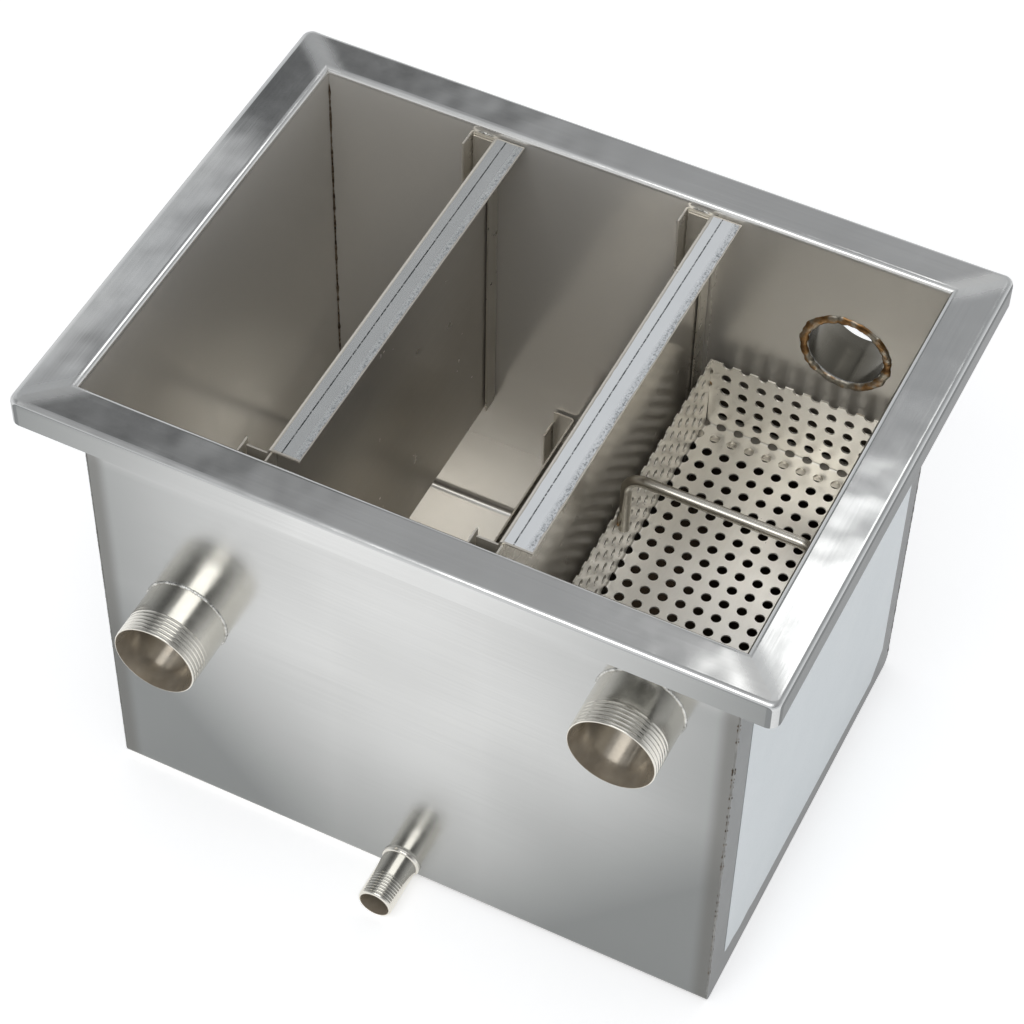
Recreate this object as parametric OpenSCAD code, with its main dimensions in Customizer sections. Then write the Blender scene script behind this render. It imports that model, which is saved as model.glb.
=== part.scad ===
// Three-compartment grease trap in folded stainless sheet, millimetres, +Z up.
// The origin is the middle of the underside. X runs along the tank from the outlet end
// to the inlet end, and Y runs from the front wall to the back wall.

/* [Tank] */
// Outside length of the tank below the rim
tank_length = 350; // [320:1:500]
// Outside width of the tank below the rim
tank_width = 250; // [200:1:400]
// Height from the underside to the top of the rim
tank_height = 304; // [260:1:450]
// Thickness of the tank sheet
sheet = 1; // [0.8:0.1:1.5]
// Outside radius of the bends between the floor and the front and back walls
floor_bend = 5; // [3:0.5:10]

/* [Rim] */
// How far the rim stands out past each end panel
rim_end_reach = 25; // [15:0.5:40]
// How far the rim stands out past the front and back walls
rim_side_reach = 23.5; // [15:0.5:40]
// Height of the lip turned down at the rim's outer edge
lip_drop = 16; // [8:0.5:30]
// Outside radius of the bends at both edges of the rim
rim_bend = 3.5; // [2:0.1:5]
// Outside radius of the rim's four corners, seen from above
rim_corner = 6; // [5.5:0.5:12]

/* [Inlet and outlet nipples] */
// Outside diameter over the thread
nipple_diameter = 46; // [40:0.1:52]
// Bore of the inlet and outlet nipples
nipple_bore = 41.6; // [34:0.1:44]
// How far the inlet and outlet nipples stand out of the wall
nipple_reach = 33; // [20:0.5:50]
// Bevel at the open end of the inlet and outlet nipples
nipple_bevel = 0.6; // [0.4:0.1:1.8]
// Distance from the end of the tank to the axis of the nearest nipple
nipple_end_distance = 49.5; // [40:0.5:60]
// Height of the inlet axis above the underside
inlet_height = 234; // [230:1:250]
// Height of the outlet axis above the underside
outlet_height = 153.5; // [120:0.5:180]

/* [Drain nipple] */
// Outside diameter of the drain nipple
drain_diameter = 20; // [14:0.1:26]
// Bore of the drain nipple
drain_bore = 15; // [8:0.1:18]
// How far the drain nipple stands out of the wall
drain_reach = 31; // [20:0.5:50]
// Rounding of the drain nipple's open end
drain_rounding = 2; // [0.5:0.1:2.4]
// Outside diameter of the collar where the drain nipple meets the wall
drain_collar_diameter = 22; // [18:0.1:30]
// Length of that collar
drain_collar_length = 7; // [3:0.5:12]
// Distance from the weir's channels to the drain axis
drain_distance = 26; // [18:1:40]
// Gap between the drain nipple and the plane of the underside
drain_ground_gap = 0.5; // [0.2:0.1:4]

/* [Baffles] */
// Distance from the inside of the left end to the middle of the left baffle's channels
left_baffle_distance = 92.4; // [80:0.2:110]
// Distance from the inside of the right end to the middle of the right baffle's channels
right_baffle_distance = 133.8; // [120:0.2:150]
// Thickness of the baffle, weir and channel sheet
plate = 1; // [0.8:0.1:1.2]
// Clear height below the baffles
baffle_underpass = 100; // [60:1:150]
// Width of the baffle's top flange
baffle_flange = 17.5; // [12:0.5:25]
// Length by which a plate is shorter than the space between its two channels
plate_slack = 8; // [2:0.5:12]
// Outside radius of the bends in the plates and channels
plate_bend = 2; // [1.6:0.1:3]

/* [Channels] */
// Outside width of a channel
channel_width = 16; // [12:0.5:22]
// Depth of a channel, out from the wall
channel_depth = 12; // [9:0.5:20]
// How far the tops of the baffle channels lie below the top of the rim
channel_below_rim = 6; // [4:0.5:20]
// How far the baffle channels reach below the baffle's lower edge
channel_below_baffle = 2; // [0:0.5:10]
// Clearance between a plate and the sides of its channel
channel_clearance = 0.7; // [0.4:0.1:1.2]
// Clearance between a plate and what it bears on
seat_clearance = 0.3; // [0.2:0.05:0.5]

/* [Weir] */
// Distance from the left baffle's channels to the weir's channels
weir_distance = 51.6; // [46:0.2:60]
// Height of the weir plate
weir_height = 105; // [60:1:140]
// Height of the weir channels above the underside
weir_channel_top = 96; // [50:1:130]
// Snip at the lower corners of the weir, which clears the floor bends
weir_snip = 7; // [6:0.5:15]

/* [Basket] */
// Spacing of the perforations
hole_pitch = 10; // [8:0.5:14]
// Diameter of the perforations
hole_diameter = 5.5; // [3:0.1:7]
// Rows of perforations up the basket's walls, the sheared top row included
basket_rows = 5; // [3:1:6]
// Least gap between the basket and what surrounds it
basket_gap = 7; // [3:0.5:12]
// Thickness of the perforated sheet
basket_sheet = 1; // [0.6:0.1:1.5]
// Outside radius of the bends between the basket's floor and walls
basket_bend = 2; // [1.6:0.1:2.6]
// Width of the slits at the foot of the basket's corners
corner_slit = 1; // [0.4:0.1:2]
// Height of those slits, which the corner welds close
corner_slit_height = 26; // [10:1:35]
// Height of the basket's underside above the tank's underside
basket_height = 154; // [120:1:170]
// Diameter of the handle rod
rod = 6; // [4:0.1:8]
// Radius of the handle's bends at the middle of the rod
rod_bend = 10; // [7:0.5:20]
// Height of the top of the handle above the basket's underside
handle_rise = 81; // [65:1:95]
// Length of the handle's legs below the top of the basket
handle_grip = 13; // [8:0.5:20]
// How far the ledges reach under the basket
ledge_bearing = 11; // [6:0.5:20]
// Height of the ledge's leg on the wall
ledge_leg = 15; // [8:0.5:25]

/* [Protective film] */
// Thickness of the film on the right end
film = 0.15; // [0.1:0.01:0.3]
// Bare strip between the film and the front edge of the end panel
film_front_margin = 20; // [5:1:40]
// Bare strip between the film and the back edge of the end panel
film_back_margin = 14; // [5:1:40]
// Bare strip below the film
film_bottom_margin = 20; // [5:1:40]
// Gap between the film and the lower edge of the rim's lip
film_top_margin = 12; // [5:1:40]
// How much lower the film's lower edge runs at the back
film_slope = 7; // [0:0.5:12]
// Size of the film's snipped lower back corner
film_snip = 14; // [4:0.5:30]

/* [Hidden] */
$fn = 48;

// Small overlap of a cutting solid past the face that it cuts
cut = 1;

// Half sizes of the tank outside and inside
half_length = tank_length / 2;
half_width = tank_width / 2;
half_inside_length = half_length - sheet;
half_inside_width = half_width - sheet;
half_rim_length = half_length + rim_end_reach;
half_rim_width = half_width + rim_side_reach;
lip_bottom = tank_height - lip_drop;

// Nipple axes
outlet_x = nipple_end_distance - half_length;
inlet_x = half_length - nipple_end_distance;
drain_height = drain_diameter / 2 + drain_ground_gap;

// Middles of the channels along the tank
left_baffle_x = left_baffle_distance - half_inside_length;
right_baffle_x = half_inside_length - right_baffle_distance;
weir_x = left_baffle_x + weir_distance;
drain_x = weir_x + drain_distance;

// Baffle channels and the plates in them
channel_top = tank_height - channel_below_rim;
channel_bottom = baffle_underpass - channel_below_baffle;
plate_return = channel_width - 2 * plate - 2 * channel_clearance;
plate_length = 2 * (half_inside_width - plate) - plate_slack;
plate_back = half_inside_width - plate - seat_clearance;
baffle_top = channel_top + seat_clearance + plate;
baffle_relief = 2 * plate;

// Weir and its channels, which start above the floor bends
weir_bottom = sheet + seat_clearance;
weir_top = weir_bottom + weir_height;
weir_channel_bottom = floor_bend + seat_clearance;

// Basket: whole pitches that fit in the right compartment
compartment_left = right_baffle_x + channel_width / 2;
compartment_length = half_inside_length - compartment_left;
basket_columns = floor((compartment_length - 2 * basket_gap) / hole_pitch);
basket_lines = floor((2 * half_inside_width - 2 * basket_gap) / hole_pitch);
basket_length = basket_columns * hole_pitch;
basket_width = basket_lines * hole_pitch;
basket_wall = basket_rows * hole_pitch;
basket_x = compartment_left + (compartment_length - basket_length) / 2;
basket_y = -basket_width / 2;
ledge_reach = half_inside_width - basket_width / 2 + ledge_bearing;

// Line of the holes that run through the basket's bends: the middle of the bend, measured along
// the sheet, lies this far from the outside face
bend_line = basket_bend - PI / 4 * (basket_bend - basket_sheet / 2);

steel = "#b9babb";
dark_steel = "#a3a19c";
bright_steel = "#c9c8c5";
pale_film = "#d5d9df";

// Extrudes a section drawn as (Y, Z) along X, centred
module along_x(length) {
    rotate([90, 0, 90])
        linear_extrude(length, center = true)
            children();
}

// Extrudes a section drawn as (X, Z) along Y, centred
module along_y(length) {
    rotate([90, 0, 0])
        linear_extrude(length, center = true)
            children();
}

// What a radius leaves of a square at a corner; side says which way the square lies
module corner_waste(side, radius) {
    if (radius > 0)
        difference() {
            translate([side > 0 ? 0 : -radius, 0])
                square(radius);
            translate([side * radius, radius])
                circle(radius);
        }
}

// Section from one wall to the other: the lower corners are rounded, and the top flares out
module flared_section(half, bottom, top, corner, flare) {
    difference() {
        translate([-half, bottom])
            square([2 * half, top - bottom]);
        for (side = [-1, 1])
            translate([side * half, bottom])
                corner_waste(-side, corner);
    }
    for (side = [-1, 1])
        translate([side * half, top])
            mirror([0, 1])
                corner_waste(side, flare);
}

// Section from one lip to the other, with the rim's outer bends
module crowned_section(half, bottom, top, corner) {
    difference() {
        translate([-half, bottom])
            square([2 * half, top - bottom]);
        for (side = [-1, 1])
            translate([side * half, top])
                mirror([0, 1])
                    corner_waste(-side, corner);
    }
}

// Section of the sheet from one lip over the top to the other lip
module rim_section(half) {
    difference() {
        crowned_section(half, lip_bottom, tank_height, rim_bend);
        crowned_section(half - sheet, lip_bottom - cut, tank_height - sheet, rim_bend - sheet);
    }
}

// Section of the folded sheet: lip, rim and wall at both sides, and the floor if there is one
module folded_section(half, half_rim, inside_bottom, bend) {
    difference() {
        union() {
            flared_section(half, 0, tank_height - sheet, bend, rim_bend - sheet);
            rim_section(half_rim);
        }
        flared_section(half - sheet, inside_bottom, tank_height, bend - sheet, rim_bend);
    }
}

// Puts its children at the middle of each corner's radius, turned outward
module at_rim_corners() {
    for (x = [0, 1], y = [0, 1])
        mirror([x, 0, 0])
            mirror([0, y, 0])
                translate([half_rim_length - rim_corner, half_rim_width - rim_corner, lip_bottom])
                    children();
}

// Quarter turn of the rim's top, outer bend and lip
module rolled_corner() {
    rotate_extrude(angle = 90)
        intersection() {
            translate([0, -lip_bottom])
                rim_section(rim_corner);
            square([rim_corner, lip_drop]);
        }
}

// Folded sheet whose square rim corners give way to rolled ones
module round_cornered() {
    difference() {
        children();
        at_rim_corners()
            translate([0, 0, -cut])
                cube([rim_corner + cut, rim_corner + cut, lip_drop + 2 * cut]);
    }
    at_rim_corners()
        rolled_corner();
}

// What belongs to an end sheet: all past the inside of the end, the mitres and the start of the corners
module end_region(side) {
    corner_x = half_rim_length - rim_corner;
    corner_y = half_rim_width - rim_corner;
    linear_extrude(tank_height + cut)
        for (edge = [-1, 1])
            polygon([
                [side * half_inside_length, 0],
                [side * half_inside_length, edge * half_inside_width],
                [side * corner_x, edge * corner_y],
                [side * corner_x, edge * (half_rim_width + cut)],
                [side * (half_rim_length + cut), edge * (half_rim_width + cut)],
                [side * (half_rim_length + cut), 0]
            ]);
}

// Hole through the front wall (side -1) or the back wall (side 1)
module wall_bore(x, z, diameter, side) {
    translate([x, side * half_width, z])
        rotate([90, 0, 0])
            cylinder(h = 2 * (floor_bend + cut), d = diameter, center = true);
}

// Front wall, floor and back wall in one folded sheet, with the front and back rim
module tank_shell() {
    color(steel)
        difference() {
            along_x(2 * half_rim_length)
                folded_section(half_width, half_rim_width, sheet, floor_bend);
            end_region(-1);
            end_region(1);
            wall_bore(outlet_x, outlet_height, nipple_bore, -1);
            wall_bore(inlet_x, inlet_height, nipple_bore, -1);
            wall_bore(inlet_x, inlet_height, nipple_bore, 1);
            wall_bore(drain_x, drain_height, drain_bore, -1);
        }
}

// End wall with its own rim, which rolls round the corners; its foot is rounded to the floor bends
module end_panel(side) {
    color(steel)
        difference() {
            intersection() {
                round_cornered()
                    along_y(2 * half_rim_width)
                        folded_section(half_length, half_rim_length, -cut, 0);
                end_region(side);
            }
            along_x(2 * half_rim_length)
                for (edge = [-1, 1])
                    translate([edge * half_width, 0])
                        corner_waste(-edge, floor_bend);
        }
}

module left_end_panel() {
    end_panel(-1);
}

module right_end_panel() {
    end_panel(1);
}

// Threaded pipe nipple on the front wall (side -1) or the back wall (side 1)
module pipe_nipple(x, z, side) {
    color(bright_steel)
        translate([x, side * half_width, z])
            rotate([side < 0 ? 90 : -90, 0, 0])
                rotate_extrude()
                    polygon([
                        [nipple_bore / 2, 0],
                        [nipple_diameter / 2, 0],
                        [nipple_diameter / 2, nipple_reach - nipple_bevel],
                        [nipple_diameter / 2 - nipple_bevel, nipple_reach],
                        [nipple_bore / 2, nipple_reach]
                    ]);
}

module outlet_nipple() {
    pipe_nipple(outlet_x, outlet_height, -1);
}

module front_inlet_nipple() {
    pipe_nipple(inlet_x, inlet_height, -1);
}

module back_inlet_nipple() {
    pipe_nipple(inlet_x, inlet_height, 1);
}

// The wall bends away low down, so the collar starts inside the bend and is trimmed to it
module drain_nipple() {
    color(bright_steel)
        difference() {
            translate([drain_x, -half_width, drain_height])
                rotate([90, 0, 0])
                    rotate_extrude()
                        drain_section();
            along_x(tank_length)
                flared_section(half_width, 0, tank_height, floor_bend, 0);
            translate([drain_x, -half_width, 0])
                mirror([0, 0, 1])
                    linear_extrude(drain_collar_diameter)
                        square([2 * drain_collar_diameter, 2 * drain_reach + cut], center = true);
        }
}

module drain_section() {
    radius = drain_diameter / 2;
    difference() {
        union() {
            translate([drain_bore / 2, -floor_bend])
                square([radius - drain_bore / 2, floor_bend + drain_reach]);
            translate([drain_bore / 2, -floor_bend])
                square([(drain_collar_diameter - drain_bore) / 2, floor_bend + drain_collar_length]);
        }
        translate([radius, drain_reach])
            mirror([0, 1])
                corner_waste(-1, drain_rounding);
    }
}

// Section of a right-angled bend round (0, 0), from a flat below it to a flat at its left
module bend_section(radius, thickness) {
    intersection() {
        difference() {
            circle(radius);
            circle(radius - thickness);
        }
        translate([-radius, -radius])
            square(radius);
    }
}

// Section of a sheet bent twice: a web along X and two legs along Y
module channel_section(web, leg, thickness, bend) {
    for (side = [0, 1])
        mirror([side, 0])
            translate([-web / 2, bend]) {
                square([thickness, leg - bend]);
                translate([bend, 0])
                    bend_section(bend, thickness);
            }
    translate([bend - web / 2, 0])
        square([web - 2 * bend, thickness]);
}

// Upright U channel on the front wall (side -1) or the back wall (side 1)
module wall_channel(x, side, bottom, top) {
    color(steel)
        translate([x, side * half_inside_width, bottom])
            rotate([0, 0, side > 0 ? 180 : 0])
                linear_extrude(top - bottom)
                    channel_section(channel_width, channel_depth, plate, plate_bend);
}

module left_baffle_front_channel() {
    wall_channel(left_baffle_x, -1, channel_bottom, channel_top);
}

module left_baffle_back_channel() {
    wall_channel(left_baffle_x, 1, channel_bottom, channel_top);
}

module right_baffle_front_channel() {
    wall_channel(right_baffle_x, -1, channel_bottom, channel_top);
}

module right_baffle_back_channel() {
    wall_channel(right_baffle_x, 1, channel_bottom, channel_top);
}

module weir_front_channel() {
    wall_channel(weir_x, -1, weir_channel_bottom, weir_channel_top);
}

module weir_back_channel() {
    wall_channel(weir_x, 1, weir_channel_bottom, weir_channel_top);
}

// Upright plate whose two ends are returned to the left, pushed to the back of its channels
module returned_plate(x, bottom, top) {
    translate([x + plate_return / 2, plate_back - plate_length / 2, bottom])
        rotate([0, 0, 90])
            linear_extrude(top - bottom)
                channel_section(plate_length, plate_return, plate, plate_bend);
}

// Baffle: the plate, and a flange folded to the right at its top, which hangs on the channels
module baffle(x) {
    fold = baffle_top - plate_bend;
    color(bright_steel) {
        returned_plate(x, baffle_underpass, channel_top - baffle_relief);
        translate([x + plate_return / 2 - plate, plate_back - plate_length / 2, 0])
            along_y(plate_length)
                baffle_top_section(fold);
    }
}

// The plate's top strip, the bend and the flange, as (X, Z)
module baffle_top_section(fold) {
    translate([0, channel_top - baffle_relief - plate])
        square([plate, fold - channel_top + baffle_relief + plate]);
    translate([plate_bend, fold])
        mirror([0, 1])
            bend_section(plate_bend, plate);
    translate([plate_bend, baffle_top - plate])
        square([baffle_flange - plate_bend, plate]);
}

module left_baffle() {
    baffle(left_baffle_x);
}

module right_baffle() {
    baffle(right_baffle_x);
}

// Low plate that stands on the floor, with its lower corners snipped
module weir_plate() {
    color(bright_steel)
        difference() {
            returned_plate(weir_x, weir_bottom, weir_top);
            for (side = [-1, 1])
                translate([weir_x, plate_back - plate_length / 2 + side * plate_length / 2, weir_bottom])
                    cube([channel_width, 2 * weir_snip, 2 * weir_snip], center = true);
        }
}

// Place of a line of holes: the lines at the two edges run along the middle of the bends
function hole_line(index, last) =
    index == 0 ? bend_line
    : index == last ? last * hole_pitch - bend_line
    : index * hole_pitch;

module perforation() {
    circle(d = hole_diameter, $fn = 16);
}

// The flat of the floor, inside its bends
module floor_sheet() {
    difference() {
        translate([basket_bend, basket_bend])
            square([basket_length - 2 * basket_bend, basket_width - 2 * basket_bend]);
        for (column = [0 : basket_columns], line = [0 : basket_lines])
            translate([hole_line(column, basket_columns), hole_line(line, basket_lines)])
                perforation();
    }
}

// The flat of a wall above its bend: the sheared top edge runs through a row of holes
module wall_sheet(columns) {
    difference() {
        translate([0, basket_bend])
            square([columns * hole_pitch, basket_wall - basket_bend]);
        for (column = [0 : columns])
            translate([hole_line(column, columns), bend_line])
                perforation();
        for (column = [1 : columns - 1], row = [1 : basket_rows])
            translate([column * hole_pitch, row * hole_pitch])
                perforation();
    }
}

// One wall on the line y = 0, and what the holes leave of the bend below it
module basket_side(columns) {
    translate([0, basket_sheet, 0])
        rotate([90, 0, 0])
            linear_extrude(basket_sheet)
                wall_sheet(columns);
    for (column = [1 : columns]) {
        start = hole_line(column - 1, columns) + hole_diameter / 2;
        end = hole_line(column, columns) - hole_diameter / 2;
        translate([start, basket_bend, basket_bend])
            rotate([90, 0, 90])
                linear_extrude(end - start)
                    bend_section(basket_bend, basket_sheet);
    }
}

// Wedges cut through the corners, widest at the foot
module corner_slits() {
    for (x = [0, 1], y = [0, 1])
        translate([x * basket_length, y * basket_width, 0])
            rotate([90, 0, x == y ? -45 : 45])
                linear_extrude(4 * basket_bend, center = true)
                    polygon([
                        [-corner_slit / 2, 0],
                        [corner_slit / 2, 0],
                        [0, corner_slit_height]
                    ]);
}

// Basket: a floor and four walls folded up from one sheet, with a slit at the foot of each corner
module basket() {
    color(dark_steel)
        translate([basket_x, basket_y, basket_height])
            difference() {
                union() {
                    linear_extrude(basket_sheet)
                        floor_sheet();
                    for (side = [0, 1]) {
                        translate([0, side * basket_width, 0])
                            mirror([0, side, 0])
                                basket_side(basket_columns);
                        translate([side * basket_length, 0, 0])
                            mirror([side, 0, 0])
                                mirror([1, -1, 0])
                                    basket_side(basket_lines);
                    }
                }
                corner_slits();
            }
}

// Bail of bent rod, standing inside the basket's left and right walls
module basket_handle() {
    span = basket_length - 2 * basket_sheet - rod;
    foot = basket_height + basket_wall - handle_grip;
    top = basket_height + handle_rise - rod / 2;
    color(bright_steel)
        translate([basket_x + basket_length / 2, 0, 0]) {
            for (side = [-1, 1]) {
                translate([side * span / 2, 0, foot])
                    cylinder(h = top - rod_bend - foot, d = rod);
                translate([side * (span / 2 - rod_bend), 0, top - rod_bend])
                    rotate([90, 0, side > 0 ? 0 : 180])
                        rotate_extrude(angle = 90)
                            translate([rod_bend, 0])
                                circle(d = rod);
            }
            translate([rod_bend - span / 2, 0, top])
                rotate([0, 90, 0])
                    cylinder(h = span - 2 * rod_bend, d = rod);
        }
}

// Angle on the front wall (side -1) or the back wall (side 1) that the basket stands on
module basket_ledge(side) {
    color(steel)
        translate([basket_x + basket_length / 2, side * half_inside_width, basket_height])
            rotate([0, 0, side > 0 ? 180 : 0])
                along_x(basket_length)
                    ledge_section();
}

// Angle as (Y, Z): a shelf below the basket and a leg down the wall
module ledge_section() {
    translate([plate_bend, -plate])
        square([ledge_reach - plate_bend, plate]);
    translate([0, -ledge_leg])
        square([plate, ledge_leg - plate_bend]);
    translate([plate_bend, -plate_bend])
        mirror([0, 1])
            bend_section(plate_bend, plate);
}

module basket_front_ledge() {
    basket_ledge(-1);
}

module basket_back_ledge() {
    basket_ledge(1);
}

// Film on the right end, peeled back from the welds
module side_film() {
    front = film_front_margin - half_width;
    back = half_width - film_back_margin;
    top = lip_bottom - film_top_margin;
    color(pale_film)
        translate([half_length, 0, 0])
            rotate([90, 0, 90])
                linear_extrude(film)
                    polygon([
                        [front, film_bottom_margin],
                        [back - film_snip, film_bottom_margin - film_slope],
                        [back, film_bottom_margin - film_slope + film_snip],
                        [back, top],
                        [front, top]
                    ]);
}

tank_shell();
left_end_panel();
right_end_panel();
outlet_nipple();
front_inlet_nipple();
back_inlet_nipple();
drain_nipple();
left_baffle();
right_baffle();
weir_plate();
left_baffle_front_channel();
left_baffle_back_channel();
right_baffle_front_channel();
right_baffle_back_channel();
weir_front_channel();
weir_back_channel();
basket();
basket_handle();
basket_front_ledge();
basket_back_ledge();
side_film();
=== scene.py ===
# %% [markdown]
# # A stainless grease trap
# The object is an open sheet metal tank that stands under a kitchen sink and holds back grease.
# The CAD frame gives every size and place. This lesson adds the looks: rolled and brushed sheet,
# cut threads, welds with their heat colours, and the protective film still on one end.

# %% Load the frame
import math
import random

import bmesh
import bpy
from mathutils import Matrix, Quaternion, Vector, noise


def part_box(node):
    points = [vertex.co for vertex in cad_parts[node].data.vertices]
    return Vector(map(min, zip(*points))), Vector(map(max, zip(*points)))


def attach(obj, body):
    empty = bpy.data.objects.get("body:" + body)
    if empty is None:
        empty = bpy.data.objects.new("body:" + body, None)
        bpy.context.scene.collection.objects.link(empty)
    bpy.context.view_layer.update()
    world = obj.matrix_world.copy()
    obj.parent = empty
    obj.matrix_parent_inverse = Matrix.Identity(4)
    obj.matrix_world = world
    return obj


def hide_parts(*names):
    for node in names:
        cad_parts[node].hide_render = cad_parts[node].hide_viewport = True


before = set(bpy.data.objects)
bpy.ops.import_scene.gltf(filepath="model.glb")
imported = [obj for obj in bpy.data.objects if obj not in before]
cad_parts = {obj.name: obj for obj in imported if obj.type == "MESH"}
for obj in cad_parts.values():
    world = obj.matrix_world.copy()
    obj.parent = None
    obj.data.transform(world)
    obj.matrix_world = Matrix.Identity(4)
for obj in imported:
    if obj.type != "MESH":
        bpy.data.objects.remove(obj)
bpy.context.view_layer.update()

mm = 0.001
scene = bpy.context.scene
scene.view_settings.view_transform = "Standard"

# %% [markdown]
# ## The camera
# The picture was taken from above and to the right, with a long lens, so the rim's sides are almost
# parallel. A camera can be aimed by hand, but here its place was worked out from the rim's corners.
# The small roll is the tilt of the picture itself.

# %% Camera at the photo's angle
camera_data = bpy.data.cameras.new("long_lens")
camera_data.sensor_width = 36
camera_data.lens = 109.165
roll = Quaternion((0, 0, 1), math.radians(1.32))
camera = bpy.data.objects.new("camera", camera_data)
camera.location = (0.43685, -0.92382, 1.40972)
aim = Vector((-0.00886, 0.01256, 0.152)) - camera.location
camera.rotation_mode = "QUATERNION"
camera.rotation_quaternion = aim.to_track_quat("-Z", "Y") @ roll
scene.collection.objects.link(camera)
scene.camera = camera
print("camera", round(aim.length, 3), "m from its aim")

# %% [markdown]
# ## The studio
# Bare metal shows its surroundings more than its own colour, so the room matters as much as the
# steel. A white floor is mirrored in the walls, and a grey room with one light side in the rim.
# A soft lamp behind the tank lights the right rim, and one in front draws the streaks on the pipes.
# The floor glows a little to the eye and to mirrors, so that it reads as white without more light
# on the object, and it keeps the shadow.

# %% Colours and nodes
def linear(code):
    """Linear RGBA from an sRGB hex code."""
    parts = [int(code[i:i + 2], 16) / 255 for i in (1, 3, 5)]
    return [p / 12.92 if p <= 0.04045 else ((p + 0.055) / 1.055) ** 2.4 for p in parts] + [1.0]


def fill(tree, node, inputs):
    """Give a node's inputs plain values, or link them to a socket or to a node's first output."""
    for name, value in inputs.items():
        if isinstance(value, bpy.types.Node):
            value = next(socket for socket in value.outputs if socket.enabled)
        if isinstance(value, bpy.types.NodeSocket):
            tree.links.new(value, node.inputs[name])
        else:
            node.inputs[name].default_value = value


def add(tree, kind, inputs=None, **settings):
    """Add a node: its settings first, then its inputs."""
    node = tree.nodes.new(kind)
    for name, value in settings.items():
        setattr(node, name, value)
    fill(tree, node, inputs or {})
    return node


print("mid grey in linear light:", round(linear("#808080")[0], 3))

# %% White floor
floor_size = 12.0
signs = ((-1, -1), (1, -1), (1, 1), (-1, 1))
floor_mesh = bpy.data.meshes.new("floor")
floor_mesh.from_pydata([(x * floor_size, y * floor_size, 0) for x, y in signs], [], [(0, 1, 2, 3)])
floor = bpy.data.objects.new("floor", floor_mesh)
scene.collection.objects.link(floor)
print("floor", 2 * floor_size, "m square")

# %% Paper on the floor
paper_glow = 0.47
paper = bpy.data.materials.new("matt_white_paper")
paper.use_nodes = True
tree = paper.node_tree
tree.nodes.clear()
ray = add(tree, "ShaderNodeLightPath").outputs
mirrors = {0: ray["Is Glossy Ray"], 1: ray["Is Transmission Ray"]}
mirrored = add(tree, "ShaderNodeMath", mirrors, operation="MAXIMUM")
seen = add(tree, "ShaderNodeMath", {0: ray["Is Camera Ray"], 1: mirrored}, operation="MAXIMUM")
level = add(tree, "ShaderNodeMath", {0: seen, 1: paper_glow}, operation="MULTIPLY")
glow = add(tree, "ShaderNodeEmission", {"Strength": level})
matt = add(tree, "ShaderNodeBsdfDiffuse", {"Color": linear("#f2f2f2")})
both = add(tree, "ShaderNodeAddShader", {0: matt, 1: glow})
add(tree, "ShaderNodeOutputMaterial", {"Surface": both})
floor_mesh.materials.append(paper)
print(paper.name, "glows at", paper_glow)

# %% [markdown]
# ## The room's walls
# The grey room is a world whose brightness depends on the direction. A picture of a real room could
# stand in for it, but a few bands are enough here: each part of the rim mirrors one of them.
# In a Map Range node, inputs 1 and 2 are the range that is read, and 3 and 4 the range it becomes.

# %% Grey room
dim_wall, lit_wall, window_light = 0.15, 0.45, 0.58
front_light, front_sides, horizon = 0.8, 0.25, 0.95
light_side = (1, -0.39, 0)

room = bpy.data.worlds.new("grey_room")
scene.world = room
room.use_nodes = True
tree = room.node_tree
tree.nodes.clear()
towards = add(tree, "ShaderNodeTexCoord").outputs["Generated"]
way = add(tree, "ShaderNodeSeparateXYZ", {0: towards}).outputs
slant = add(tree, "ShaderNodeVectorMath", {0: towards, 1: light_side}, operation="DOT_PRODUCT")
edge = {0: slant, 1: -0.595, 2: -0.56, 3: dim_wall, 4: lit_wall}
wall = add(tree, "ShaderNodeMapRange", edge, interpolation_type="SMOOTHSTEP")
edge = {0: slant, 1: -0.667, 2: -0.7, 4: window_light}
window = add(tree, "ShaderNodeMapRange", edge, interpolation_type="SMOOTHSTEP")
back = add(tree, "ShaderNodeMath", {0: wall, 1: window}, operation="ADD")
aside = add(tree, "ShaderNodeMath", {0: way["X"]}, operation="ABSOLUTE")
edge = {0: aside, 1: 0.28, 2: 0.5, 3: front_light, 4: front_sides}
front = add(tree, "ShaderNodeMapRange", edge)
behind = add(tree, "ShaderNodeMapRange", {0: way["Y"], 1: -0.2, 2: 0.2})
upper = add(tree, "ShaderNodeMix", {0: behind, 2: front, 3: back})
low = add(tree, "ShaderNodeMapRange", {0: way["Z"], 1: 0.1, 2: 0.6, 3: 1.0, 4: 0.0})
shade = add(tree, "ShaderNodeMix", {0: low, 2: upper, 3: horizon})
sky = add(tree, "ShaderNodeBackground", {"Color": linear("#fafcff"), "Strength": shade})
add(tree, "ShaderNodeOutputWorld", {"Surface": sky})
print(room.name, len(tree.nodes), "nodes")

# %% Soft lamps
def softbox(name, place, aimed_at, width, depth, radiance, turn=0.0):
    """A rectangular soft lamp of a given brightness, 1 being white, turned in its own plane."""
    lamp = bpy.data.lights.new(name, "AREA")
    lamp.shape = "RECTANGLE"
    lamp.size = width
    lamp.size_y = depth
    lamp.energy = radiance * math.pi * width * depth
    stand = bpy.data.objects.new(name, lamp)
    stand.location = place
    stand.rotation_euler = (Vector(aimed_at) - Vector(place)).to_track_quat("-Z", "Y").to_euler()
    stand.rotation_euler.rotate_axis("Z", math.radians(turn))
    scene.collection.objects.link(stand)
    print(name, width, "x", depth, "m, brightness", radiance)


softbox("back_softbox", (0.245, 1.17, 2.0), (0.245, 1.17, 0.0), 0.95, 0.53, radiance=1.6, turn=16)
softbox("front_softbox", (0.15, -1.2, 1.95), (0.05, 0, 0.15), 1.4, 0.8, radiance=2.5)

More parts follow.
